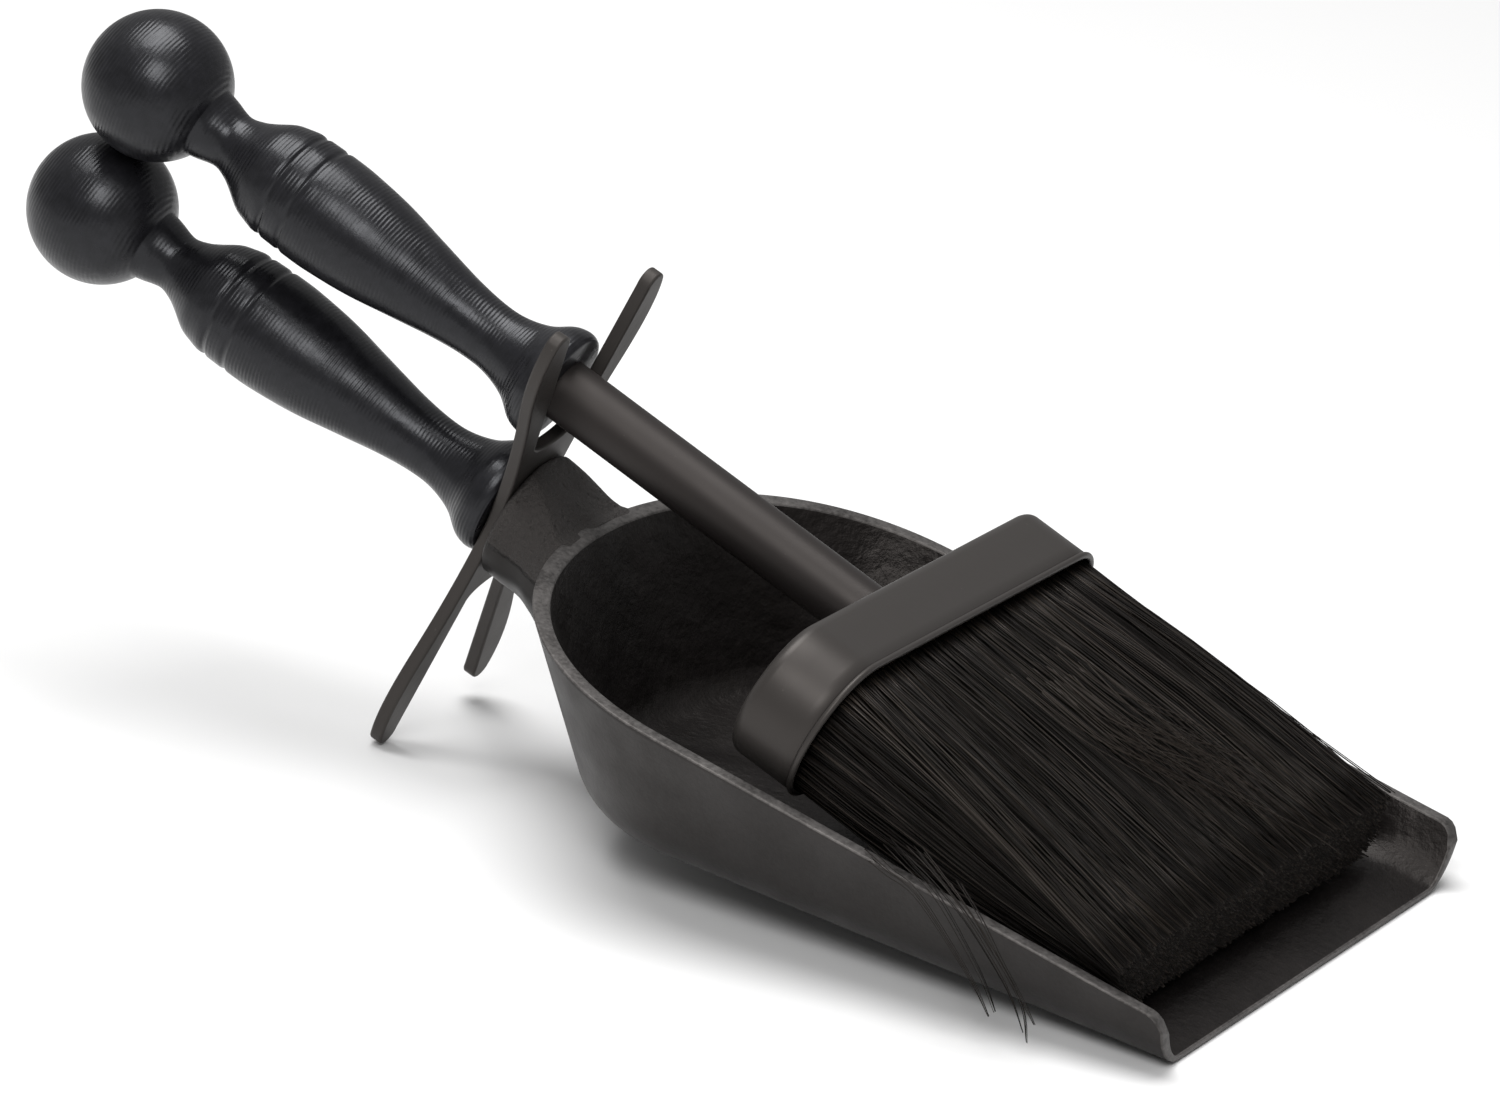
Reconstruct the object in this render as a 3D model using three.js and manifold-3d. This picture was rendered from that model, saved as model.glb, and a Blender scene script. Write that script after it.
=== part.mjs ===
// A hearth dust pan and brush: a cast-iron pan with a ball-ended handle, an X-shaped rest plate
// clamped between the two, and a long-shafted brush that lies in the plate's upper fork.
// Millimetres, +Z up, the pan's mouth towards -Y and the handles towards +Y.
import * as THREE from "three";
import { mergeVertices } from "three/addons/utils/BufferGeometryUtils.js";
import Module from "manifold-3d";

const wasm = await Module();
wasm.setup();

// ---------------------------------------------------------------- driving dimensions
const gap = 0.3; // running gap left between two pieces that touch

const pan = {
  mouthHalf: 77, // half width of the floor at the mouth, outside
  rearHalf: 65, // the same where the side walls end
  sideLength: 142, // from the mouth to the end of the side walls
  length: 184, // from the mouth to the back of the floor
  frontHeight: 14.5, // wall height at the mouth
  rearHeight: 49, // wall height at the back
  wall: 4.2,
  floor: 4,
  flare: 0.45, // outward lean of the walls, across over up
  bottomRadius: 9, // outer radius between floor and wall
  innerRadius: 6,
  lipLength: 13, // bevel at the front edge of the floor
  lipEdge: 1.4, // what is left of the floor at that edge
  cornerRadius: 5, // round on the front top corner of each wall
};
const socket = {
  radius: 17,
  flareRadius: 19.5, // where it runs into the back wall
  flareLength: 10,
  boreDepth: 24, // threaded hole for the handle's stud
  planeStart: 4, // the top is planed down from here towards the rim
  planeEnd: 18.5,
  planedHeight: 8.4, // height above the stud's axis that is left at the wall
};
const grip = {
  ballRadius: 18.8,
  ballToEnd: 127.6, // ball centre to the flat front end
  neckRadius: 7.4,
  waistRadius: 8.1,
  bellyRadius: 14.7,
  endRadius: 14.8,
  grooveDepth: 0.5,
};
const shaft = { radius: 7.8, wall: 1.2, seat: 6, plugLength: 18 };
const plate = {
  thickness: 3.5,
  armSpread: shaft.radius + 13.8, // arm tip centre from the middle line
  armReach: 62.5, // arm tip centre from the stud
  tipRadius: 3.6,
  waistHalf: 11, // half width beside the stud
  armStart: 38, // where the waist's curve runs out into the arm
  armStartHalf: 21, // the outline's half width there
  bulge: 6.8, // how far out the arm's outer edge bows past its tip centre
  notch: 22.3, // bottom of the fork above the stud
  notchHalf: shaft.radius + 1.7, // half width at the foot of the fork's straight sides
  notchRound: 2.7, // height of the round at the fork's bottom
};
const stud = { radius: 4, gripDepth: 42 };
const ferrule = { width: 151, thickness: 38, depth: 20, wall: 1.2, bead: 0.7, beadLength: 1.6, recess: 4 };
const screw = { radius: 3, headRadius: 5.5, headHeight: 3.4, washerRadius: 7.5, washerHeight: 1.2 };
const bristles = {
  length: 97, // out of the ferrule's mouth
  rows: 6,
  rowGap: 0.5,
  endThickness: 17, // of the cut end
  floorClearance: 2.6, // the cut end's lower edge above the pan's floor, for the head's roll
  endHalf: 68, // half width of the cut end in the lowest row
  endGrowth: 0.8, // how much wider each row above it is
  level: 0.9, // share of the head's roll taken out at the cut end, which lies along the floor
};

// how the pieces lie
const radians = THREE.MathUtils.degToRad;
const panTilt = radians(4.5); // the pan stands on its lip, with its back held up by the plate
const handleTilt = radians(21.6); // pan handle above level
const brushRoll = radians(2.7); // the brush head lies a little turned about its shaft
const plateRoll = radians(8); // the plate is clamped a little turned
const plateBehind = 37.7; // the plate's middle behind the back of the pan's floor
const plateDistance = pan.length + plateBehind;
const brushHeight = 35; // shaft axis above the stud axis, along the plate
const brushShift = -1.6; // shaft axis to the side, leaning on one arm
const ballGap = 0.2; // left between the two balls, the upper of which rests on the lower
const brushTilt = handleTilt + Math.asin((2 * grip.ballRadius + ballGap - brushHeight) / grip.ballToEnd);
const brushGripGap = 1; // brush handle's end behind the plate
const shaftLength = 96; // plate's middle to the back of the ferrule
const segments = 32;

// The stud's height puts the lower of the plate's two feet on the ground.
const footDrop = plate.armReach * Math.cos(plateRoll) + plate.armSpread * Math.sin(plateRoll) + plate.tipRadius;
const studHeight = footDrop * Math.cos(handleTilt) + (plate.thickness / 2) * Math.sin(handleTilt);
const plateCentre = new THREE.Vector3(0, plateDistance, studHeight);

// The cut end lies on the pan's floor: its lower edge, above the shaft's axis, follows from where the tips are.
const tipReach = shaftLength + ferrule.depth + bristles.length;
const tipsBack = plateDistance - brushHeight * Math.sin(handleTilt) - tipReach * Math.cos(brushTilt);
const tipsHeight = studHeight + brushHeight * Math.cos(handleTilt) - tipReach * Math.sin(brushTilt);
const floorHeight = tipsBack * Math.tan(panTilt) + pan.floor / Math.cos(panTilt);
const endBottom = (floorHeight - tipsHeight) / Math.cos(brushTilt) + bristles.floorClearance;

// ---------------------------------------------------------------- materials
const paint = (color, roughness, metalness = 0) => new THREE.MeshStandardMaterial({ color, roughness, metalness });
const castIron = () => paint(0x1d1d1f, 0.6, 0.3);
const blackPaint = () => paint(0x161618, 0.4);
const blackSteel = () => paint(0x202022, 0.45, 0.4);
const zincSteel = () => paint(0xa8aaad, 0.35, 1);
const hair = () => paint(0x0d0c0b, 0.75);
const beech = () => paint(0x9a7448, 0.7);

// ---------------------------------------------------------------- solid helpers
function solid(geometry) {
  const plain = geometry.index ? geometry.toNonIndexed() : geometry.clone();
  plain.deleteAttribute("normal");
  plain.deleteAttribute("uv");
  const merged = mergeVertices(plain, 1e-4);
  return new wasm.Manifold(
    new wasm.Mesh({
      numProp: 3,
      vertProperties: merged.attributes.position.array,
      triVerts: new Uint32Array(merged.index.array),
    }),
  );
}

function geometryOf(manifold) {
  const mesh = manifold.getMesh();
  const geometry = new THREE.BufferGeometry();
  geometry.setAttribute("position", new THREE.BufferAttribute(mesh.vertProperties, 3));
  geometry.setIndex(new THREE.BufferAttribute(mesh.triVerts, 1));
  return geometry;
}

function named(name, geometry, material) {
  const mesh = new THREE.Mesh(geometry, material);
  mesh.name = name;
  return mesh;
}

// A cylinder along Y from y0 to y1.
function rod(radius, y0, y1, sides = segments) {
  return new THREE.CylinderGeometry(radius, radius, y1 - y0, sides).translate(0, (y0 + y1) / 2, 0);
}

function box(x, y, z, cx, cy, cz) {
  return new THREE.BoxGeometry(x, y, z).translate(cx, cy, cz);
}

// A profile drawn in the Y-Z plane, extruded across X about the middle.
function acrossX(shape, width) {
  const geometry = new THREE.ExtrudeGeometry(shape, { depth: width, bevelEnabled: false, curveSegments: 8 });
  const basis = new THREE.Matrix4().makeBasis(
    new THREE.Vector3(0, 1, 0),
    new THREE.Vector3(0, 0, 1),
    new THREE.Vector3(1, 0, 0),
  );
  return geometry.translate(0, 0, -width / 2).applyMatrix4(basis);
}

// A shape drawn in X-Z, extruded along Y from y0 to y1.
function alongY(shape, y0, y1, curveSegments = 12) {
  const geometry = new THREE.ExtrudeGeometry(shape, { depth: y1 - y0, bevelEnabled: false, curveSegments });
  return geometry.rotateX(Math.PI / 2).translate(0, y1, 0);
}

// ---------------------------------------------------------------- pan casting
// The floor's outline: straight sides that draw in towards the back, and a rounded back.
function panOutline(front) {
  const slope = (pan.mouthHalf - pan.rearHalf) / pan.sideLength;
  const back = pan.length - pan.sideLength;
  const reach = back * 0.6;
  const half = new THREE.Path();
  half.moveTo(pan.mouthHalf - slope * front, front);
  half.lineTo(pan.rearHalf, pan.sideLength);
  half.bezierCurveTo(
    pan.rearHalf - slope * reach, pan.sideLength + reach,
    pan.rearHalf * 0.58, pan.length,
    0, pan.length,
  );
  const right = half.getPoints(26);
  const left = right.slice(0, -1).reverse().map((p) => new THREE.Vector2(-p.x, p.y));
  return [...right, ...left];
}

// A prism on the floor's outline whose sides lean: at height z the outline is moved out by spread(z).
function leaningPrism(outline, heights, spread) {
  const count = outline.length;
  const outward = outline.map((p, i) => {
    const before = outline[Math.max(i - 1, 0)];
    const after = outline[Math.min(i + 1, count - 1)];
    return new THREE.Vector2(after.y - before.y, before.x - after.x).normalize();
  });
  const key = (x, y) => x.toFixed(3) + "," + y.toFixed(3);
  const index = new Map(outline.map((p, i) => [key(p.x, p.y), i]));
  const steps = heights.length - 1;
  const geometry = new THREE.ExtrudeGeometry(new THREE.Shape(outline), { depth: steps, steps, bevelEnabled: false });
  const position = geometry.attributes.position;
  for (let i = 0; i < position.count; i++) {
    const at = index.get(key(position.getX(i), position.getY(i)));
    const z = heights[Math.round(position.getZ(i))];
    const moved = outline[at].clone().addScaledVector(outward[at], spread(z));
    position.setXYZ(i, moved.x, moved.y, z);
  }
  return geometry;
}

// How far a wall with a round at its foot stands out at height z above that foot.
function wallSpread(z, radius) {
  const below = Math.max(1 - z / radius, 0);
  return z * pan.flare - radius * (1 - Math.sqrt(1 - below * below)) * 0.9;
}

// Heights that follow a round of the given radius, then go straight to the top.
function wallHeights(foot, radius, top) {
  return [0, 0.04, 0.15, 0.35, 0.65, 1].map((share) => foot + radius * share).concat(top);
}

// The slanted top of the walls, from the mouth to the back.
function aboveRim() {
  const y0 = -40;
  const y1 = 260;
  const rise = (pan.rearHeight - pan.frontHeight) / backOfRim();
  const rim = new THREE.Shape();
  rim.moveTo(y0, pan.frontHeight + rise * y0);
  rim.lineTo(y1, pan.frontHeight + rise * y1);
  rim.lineTo(y1, 200);
  rim.lineTo(y0, 200);
  return acrossX(rim, 400);
}

function backOfRim() {
  return pan.length + pan.rearHeight * pan.flare;
}

// What is cut from the front: everything ahead of the mouth, the bevel, and the corner rounds.
function mouthCut() {
  const r = pan.cornerRadius;
  const shape = new THREE.Shape();
  shape.moveTo(-60, -20);
  shape.lineTo(0, -20);
  shape.lineTo(0, pan.frontHeight - r);
  shape.absarc(r, pan.frontHeight - r, r, Math.PI, Math.PI / 2, true);
  shape.lineTo(r, 120);
  shape.lineTo(-60, 120);
  return acrossX(shape, 400);
}

function lipCut() {
  const shape = new THREE.Shape();
  shape.moveTo(-1, pan.lipEdge);
  shape.lineTo(0, pan.lipEdge);
  shape.lineTo(pan.lipLength, pan.floor);
  shape.lineTo(pan.lipLength, pan.floor + 1);
  shape.lineTo(-1, pan.floor + 1);
  return acrossX(shape, 2 * (pan.mouthHalf - pan.wall));
}

// The socket runs down the stud's axis from the plate into the back wall.
function socketSolid() {
  const start = -plate.thickness / 2 - gap;
  const reach = 60;
  const profile = [
    [0, start], [socket.radius - 1, start], [socket.radius, start - 1],
    [socket.radius, start - socket.flareLength],
    [socket.radius + 1.2, start - socket.flareLength - 5],
    [socket.flareRadius, start - socket.flareLength - 14],
    [socket.flareRadius + 2, start - reach], [0, start - reach],
  ].map(([x, y]) => new THREE.Vector2(x, y));
  return new THREE.LatheGeometry(profile.reverse(), segments);
}

// What is taken off the socket's top, so that it runs down to the pan's rim.
function planedTop() {
  const shape = new THREE.Shape();
  shape.moveTo(-socket.planeStart, socket.radius);
  shape.lineTo(-socket.planeStart, 3 * socket.radius);
  shape.lineTo(-5 * socket.radius, 3 * socket.radius);
  shape.lineTo(-5 * socket.radius, socket.planedHeight);
  shape.lineTo(-socket.planeEnd, socket.planedHeight);
  return acrossX(shape, 4 * socket.radius);
}

function studAxis(geometry) {
  return geometry.rotateX(handleTilt).translate(plateCentre.x, plateCentre.y, plateCentre.z);
}

function tilted(geometry) {
  return geometry.rotateX(panTilt);
}

function panCasting() {
  const top = pan.rearHeight + 30;
  const outer = leaningPrism(panOutline(-20), wallHeights(0, pan.bottomRadius, top), (z) =>
    wallSpread(z, pan.bottomRadius),
  );
  const inner = leaningPrism(panOutline(-30), wallHeights(pan.floor, pan.innerRadius, top + 5), (z) =>
    wallSpread(z - pan.floor, pan.innerRadius) + pan.floor * pan.flare - pan.wall,
  );
  const bore = rod(stud.radius + gap, -plate.thickness - socket.boreDepth, 10, 24);
  const block = solid(tilted(outer));
  const above = solid(tilted(aboveRim()));
  const stub = solid(studAxis(socketSolid()))
    .subtract(solid(studAxis(planedTop())))
    .subtract(block.intersect(above));
  return block
    .subtract(above)
    .add(stub)
    .subtract(solid(tilted(inner)))
    .subtract(solid(tilted(mouthCut())))
    .subtract(solid(tilted(lipCut())))
    .subtract(solid(studAxis(bore)));
}

// ---------------------------------------------------------------- turned handles
// The profile from the flat front end (y = 0) to the ball, on the handle's own axis.
function gripProfile() {
  const { ballRadius, ballToEnd, neckRadius, waistRadius, bellyRadius, endRadius, grooveDepth } = grip;
  const v = (x, y) => new THREE.Vector2(x, y);
  const front = new THREE.SplineCurve([
    v(endRadius - 0.6, 0.2), v(endRadius, 1.5), v(endRadius, 3.5), v(endRadius - 1, 6.4),
    v(waistRadius + 2.4, 11.3), v(waistRadius + 0.4, 17.6), v(waistRadius, 24), v(waistRadius + 0.9, 33.2),
    v(bellyRadius - 3.5, 45.7), v(bellyRadius - 1.3, 58.1), v(bellyRadius - 0.2, 69.1), v(bellyRadius, 75),
  ]).getPoints(32);
  const groove = (y) => [v(bellyRadius - 0.1, y - 1), v(bellyRadius - grooveDepth - 0.1, y), v(bellyRadius - 0.1, y + 1)];
  const shoulder = new THREE.SplineCurve([
    v(bellyRadius - 0.3, 86.9), v(bellyRadius - 0.9, 89.3), v(bellyRadius - 2, 92.7), v(neckRadius + 2.6, 97),
    v(neckRadius + 1, 100), v(neckRadius, 103.8), v(neckRadius + 1.1, 108.4),
  ]).getPoints(14);
  const from = Math.asin((neckRadius + 1.1) / ballRadius);
  const ball = [];
  const parts = 14;
  for (let i = 1; i < parts; i++) {
    const angle = from + ((Math.PI - from) * i) / parts;
    ball.push(v(ballRadius * Math.sin(angle), ballToEnd - ballRadius * Math.cos(angle)));
  }
  return [v(0, 0), v(endRadius - 1.4, 0), ...front, ...groove(78.4), ...groove(84.7), ...shoulder, ...ball,
    v(0, ballToEnd + ballRadius)];
}

function gripSolid() {
  return solid(new THREE.LatheGeometry(gripProfile(), segments));
}

function panHandle() {
  return gripSolid().subtract(solid(rod(stud.radius + gap, -5, stud.gripDepth + gap, 24)));
}

function brushHandle() {
  const seat = rod(shaft.radius + gap, -5, shaft.seat + gap);
  return gripSolid()
    .subtract(solid(seat))
    .subtract(solid(rod(stud.radius + gap, 0, stud.gripDepth + gap, 24)));
}

// ---------------------------------------------------------------- X plate
// A quarter of the plate's outline: waist, bowed outer edge, round tip, straight inner edge, fork bottom.
function plateQuarter() {
  const { armSpread, armReach, tipRadius, waistHalf, armStart, armStartHalf, bulge } = plate;
  const { notch, notchHalf, notchRound } = plate;
  const turn = Math.PI / 6; // where the outer edge runs into the tip's round
  const path = new THREE.Path();
  path.moveTo(waistHalf, 0);
  path.quadraticCurveTo(waistHalf + 1.5, armStart / 2, armStartHalf, armStart);
  const meet = [armSpread + tipRadius * Math.cos(turn), armReach + tipRadius * Math.sin(turn)];
  path.quadraticCurveTo(armSpread + bulge, (armStart + 2 * armReach) / 3, ...meet);
  path.absarc(armSpread, armReach, tipRadius, turn, Math.PI, false);
  path.lineTo(notchHalf, notch + notchRound);
  path.quadraticCurveTo(notchHalf - notchRound / 2, notch, 0, notch);
  return path.getPoints(10);
}

// The whole outline: a quarter, its mirror image, and both again turned half round.
function plateShape() {
  const quarter = plateQuarter();
  const mirrored = quarter.slice(0, -1).reverse().map((p) => new THREE.Vector2(-p.x, p.y));
  const upper = [...quarter, ...mirrored];
  const lower = upper.slice(1, -1).map((p) => new THREE.Vector2(-p.x, -p.y));
  return new THREE.Shape([...upper, ...lower]);
}

function xPlate() {
  const sheet = alongY(plateShape(), -plate.thickness / 2, plate.thickness / 2, 10);
  return solid(sheet).subtract(solid(rod(stud.radius + gap, -10, 10, 24)));
}

// ---------------------------------------------------------------- brush head
// A stadium of the given width and thickness, in X-Z.
function stadium(width, thickness) {
  const r = thickness / 2;
  const flat = width / 2 - r;
  const shape = new THREE.Shape();
  shape.moveTo(-flat, -r);
  shape.lineTo(flat, -r);
  shape.absarc(flat, 0, r, -Math.PI / 2, Math.PI / 2, false);
  shape.lineTo(-flat, r);
  shape.absarc(-flat, 0, r, Math.PI / 2, (3 * Math.PI) / 2, false);
  return shape;
}

function stadiumSolid(inset, y0, y1) {
  return solid(alongY(stadium(ferrule.width - 2 * inset, ferrule.thickness - 2 * inset), y0, y1, 14));
}

const ferruleBack = -shaftLength;
const ferruleMouth = ferruleBack - ferrule.depth;
const blockFront = ferruleMouth + ferrule.recess;

function ferruleShell() {
  return stadiumSolid(0, ferruleMouth, ferruleBack)
    .add(stadiumSolid(-ferrule.bead, ferruleMouth, ferruleMouth + ferrule.beadLength))
    .subtract(stadiumSolid(ferrule.wall, ferruleMouth - 5, ferruleBack - ferrule.wall))
    .subtract(solid(rod(screw.radius + gap, ferruleBack - 5, ferruleBack + 5, 24)));
}

const seatDepth = screw.headHeight + screw.washerHeight + 2 * gap + 1;

function brushBlock() {
  const back = ferruleBack - ferrule.wall - gap;
  return stadiumSolid(ferrule.wall + gap, blockFront, back)
    .subtract(solid(rod(screw.radius + gap, blockFront - 5, ferruleBack + 5, 24)))
    .subtract(solid(rod(screw.washerRadius + gap, blockFront - 5, blockFront + seatDepth)));
}

// One row of bristles: it leaves the block at full spacing and is pressed flatter towards the cut end.
function bristleRow(i) {
  const inside = ferrule.thickness / 2 - ferrule.wall - 1.5;
  const pitch = (2 * inside) / bristles.rows;
  const endPitch = bristles.endThickness / bristles.rows;
  const low = -inside + pitch * i;
  const endLow = endBottom + endPitch * i;
  const y0 = blockFront - gap;
  const y1 = ferruleMouth - bristles.length;
  const shape = new THREE.Shape();
  shape.moveTo(y0, low);
  shape.lineTo(y0, low + pitch - bristles.rowGap);
  shape.lineTo(y1, endLow + endPitch - bristles.rowGap);
  shape.lineTo(y1, endLow);
  const far = Math.max(Math.abs(low), Math.abs(low + pitch));
  const round = ferrule.thickness / 2 - ferrule.wall - gap;
  const half = ferrule.width / 2 - ferrule.thickness / 2 + Math.sqrt(round * round - far * far) - 0.5;
  const endHalf = bristles.endHalf + bristles.endGrowth * i;
  const slab = acrossX(shape, 2 * half);
  const position = slab.attributes.position;
  for (let k = 0; k < position.count; k++) {
    const share = (position.getY(k) - y0) / (y1 - y0);
    const x = position.getX(k) * (1 + share * (endHalf / half - 1));
    position.setX(k, x);
    position.setZ(k, position.getZ(k) + share * x * Math.tan(brushRoll) * bristles.level);
  }
  return slab;
}

// ---------------------------------------------------------------- assembly
const handleGroup = new THREE.Group();
handleGroup.position.copy(plateCentre);
handleGroup.rotation.x = handleTilt;

const gripStart = plate.thickness / 2 + gap;
const handleMesh = named("pan_handle", geometryOf(panHandle()), blackPaint());
handleMesh.position.y = gripStart;
const plateMesh = named("x_plate", geometryOf(xPlate()), blackSteel());
plateMesh.rotation.y = -plateRoll;
const studFront = -plate.thickness - socket.boreDepth + 3;
const panStud = named("pan_handle_stud", rod(stud.radius, studFront, gripStart + stud.gripDepth - 2, 24), zincSteel());
handleGroup.add(handleMesh, plateMesh, panStud);

const brushGroup = new THREE.Group();
const upPlate = new THREE.Vector3(0, -Math.sin(handleTilt), Math.cos(handleTilt));
brushGroup.position.copy(plateCentre).addScaledVector(upPlate, brushHeight);
brushGroup.position.x = brushShift;
brushGroup.rotation.set(brushTilt, brushRoll, 0);

const brushGripStart = plate.thickness / 2 + brushGripGap;
const brushGrip = named("brush_handle", geometryOf(brushHandle()), blackPaint());
brushGrip.position.y = brushGripStart;
const tubeEnd = brushGripStart + shaft.seat;
const tube = solid(rod(shaft.radius, ferruleBack + gap, tubeEnd))
  .subtract(solid(rod(shaft.radius - shaft.wall, ferruleBack - 5, tubeEnd + 5)));
const plugRadius = shaft.radius - shaft.wall - gap;
const rearPlug = solid(rod(plugRadius, tubeEnd - shaft.plugLength, tubeEnd))
  .subtract(solid(rod(stud.radius + gap, tubeEnd - shaft.plugLength - 5, tubeEnd + 5, 24)));
const frontPlug = solid(rod(plugRadius, ferruleBack + gap, ferruleBack + shaft.plugLength))
  .subtract(solid(rod(screw.radius + gap, ferruleBack - 5, ferruleBack + shaft.plugLength + 5, 24)));
const brushStud = rod(stud.radius, tubeEnd - shaft.plugLength + 2, brushGripStart + stud.gripDepth - 2, 24);
const headSeat = blockFront + seatDepth - gap;
const washer = solid(rod(screw.washerRadius, headSeat - screw.washerHeight, headSeat))
  .subtract(solid(rod(screw.radius + gap, headSeat - 10, headSeat + 10, 24)));
const headTop = headSeat - screw.washerHeight - gap;
const screwSolid = solid(rod(screw.radius, headTop - 1, ferruleBack + shaft.plugLength - 2, 24))
  .add(solid(rod(screw.headRadius, headTop - screw.headHeight, headTop, 24)));

brushGroup.add(
  brushGrip,
  named("brush_shaft_tube", geometryOf(tube), blackSteel()),
  named("shaft_rear_plug", geometryOf(rearPlug), zincSteel()),
  named("shaft_front_plug", geometryOf(frontPlug), zincSteel()),
  named("brush_handle_stud", brushStud, zincSteel()),
  named("brush_ferrule", geometryOf(ferruleShell()), blackSteel()),
  named("brush_block", geometryOf(brushBlock()), beech()),
  named("head_washer", geometryOf(washer), zincSteel()),
  named("head_screw", geometryOf(screwSolid), zincSteel()),
);
for (let i = 0; i < bristles.rows; i++) brushGroup.add(named("bristle_row_" + (i + 1), bristleRow(i), hair()));

const set = new THREE.Group();
set.add(named("pan_casting", geometryOf(panCasting()), castIron()), handleGroup, brushGroup);

// The origin is under the middle of the whole set, on the surface that it stands on.
set.updateMatrixWorld(true);
const bounds = new THREE.Box3().setFromObject(set, true);
set.position.set(0, -(bounds.min.y + bounds.max.y) / 2, 0);

export default set;
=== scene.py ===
# %% [markdown]
# # A hearth dust pan and its brush
# The real object is a cast-iron pan whose turned handle is screwed on through an X-shaped steel plate. The plate
# holds the back of the pan off the ground and its upper fork carries the shaft of a flat brush. The solid model
# comes in as a fixed frame; here each visible surface is worked out as a fine mesh in the same place, and every
# finish gets a material of its own.

# %% Load the solid model
import math

import bpy
import numpy as np
from mathutils import Matrix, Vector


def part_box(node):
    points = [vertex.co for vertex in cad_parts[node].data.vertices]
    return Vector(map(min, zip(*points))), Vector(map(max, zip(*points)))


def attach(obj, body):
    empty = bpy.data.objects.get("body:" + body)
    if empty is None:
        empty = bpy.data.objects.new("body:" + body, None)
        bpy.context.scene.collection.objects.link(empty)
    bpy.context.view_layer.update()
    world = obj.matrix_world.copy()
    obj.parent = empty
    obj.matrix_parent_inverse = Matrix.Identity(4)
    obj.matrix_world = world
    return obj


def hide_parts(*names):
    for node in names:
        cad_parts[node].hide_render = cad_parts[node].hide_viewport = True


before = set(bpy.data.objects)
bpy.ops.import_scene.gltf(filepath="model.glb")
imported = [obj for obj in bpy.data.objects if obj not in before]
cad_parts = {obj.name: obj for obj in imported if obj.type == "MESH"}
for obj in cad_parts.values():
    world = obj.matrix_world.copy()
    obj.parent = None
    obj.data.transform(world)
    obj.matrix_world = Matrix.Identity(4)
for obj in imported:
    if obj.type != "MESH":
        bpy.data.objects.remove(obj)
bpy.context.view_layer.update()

# %% [markdown]
# Every size below is in millimetres and is turned into metres when a mesh is written. The pan, the stud with the
# handle and plate, and the brush each have a frame of their own, in which their shape is easy to say: the pan's Y
# runs from the lip to the back along its floor, the stud's and the brush's Y runs along the turned handle. A 4x4
# array takes each of those frames to the model's frame. The plate's middle, measured on the solid model, ties them
# together.

# %% Places of the three frames
MM = 0.001
PLATE_BEHIND_LIP = 221.7
PAN_TILT, HANDLE_TILT, BRUSH_TILT = math.radians(4.5), math.radians(21.6), math.radians(22.857)
BRUSH_ROLL, PLATE_ROLL = math.radians(2.7), math.radians(8.0)
BRUSH_HEIGHT, BRUSH_SHIFT = 35.0, -1.6


def turn_x(angle):
    """A turn about X: y' = y cos a - z sin a, z' = y sin a + z cos a."""
    c, s = math.cos(angle), math.sin(angle)
    m = np.eye(4)
    m[1:3, 1:3] = [[c, -s], [s, c]]
    return m


def turn_y(angle):
    """A turn about Y: x' = x cos a + z sin a, z' = -x sin a + z cos a."""
    c, s = math.cos(angle), math.sin(angle)
    m = np.eye(4)
    m[0, 0], m[0, 2], m[2, 0], m[2, 2] = c, s, -s, c
    return m


def moved(x, y, z):
    m = np.eye(4)
    m[:3, 3] = x, y, z
    return m


low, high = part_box("x_plate")
plate_middle = (np.array(low) + np.array(high)) / 2 / MM
up_plate = np.array([0.0, -math.sin(HANDLE_TILT), math.cos(HANDLE_TILT)])
shaft_start = plate_middle + up_plate * BRUSH_HEIGHT
PAN = moved(0, plate_middle[1] - PLATE_BEHIND_LIP, 0) @ turn_x(PAN_TILT)
STUD = moved(*plate_middle) @ turn_x(HANDLE_TILT)
BRUSH = moved(BRUSH_SHIFT, shaft_start[1], shaft_start[2]) @ turn_x(BRUSH_TILT) @ turn_y(BRUSH_ROLL)
print("plate middle", plate_middle.round(2))

# %% [markdown]
# A surface worked out on a grid becomes a mesh through one helper. Points that fall together, such as a seam or
# the pole of a turned shape, are made one point; a quad that loses a corner that way becomes a triangle. If the
# enclosed volume comes out negative, the faces point inwards and are all turned round. The points before they are
# placed are kept as the attribute "local", so that a finish can follow a handle's axis or a ferrule's depth.

# %% Mesh helpers
def grid_quads(rows, columns, wrap=False, start=0):
    """Quads between neighbours on a grid counted row by row; wrap joins the last column to the first."""
    r = np.arange(rows - 1)[:, None] * columns
    c = np.arange(columns if wrap else columns - 1)[None, :]
    n = (c + 1) % columns
    quads = np.stack([r + c, r + n, r + n + columns, r + c + columns], axis=-1)
    return quads.reshape(-1, 4) + start


def placed(points, place):
    """Points times the 3x3 of the place, plus its shift."""
    return points @ place[:3, :3].T + place[:3, 3]


def signed_volume(points, triangles):
    """A sixth of the sum over all triangles of a . (b x c)."""
    a, b, c = (points[triangles[:, i]] for i in range(3))
    return float(np.einsum("ij,ij->i", a, np.cross(b, c)).sum() / 6)


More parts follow.
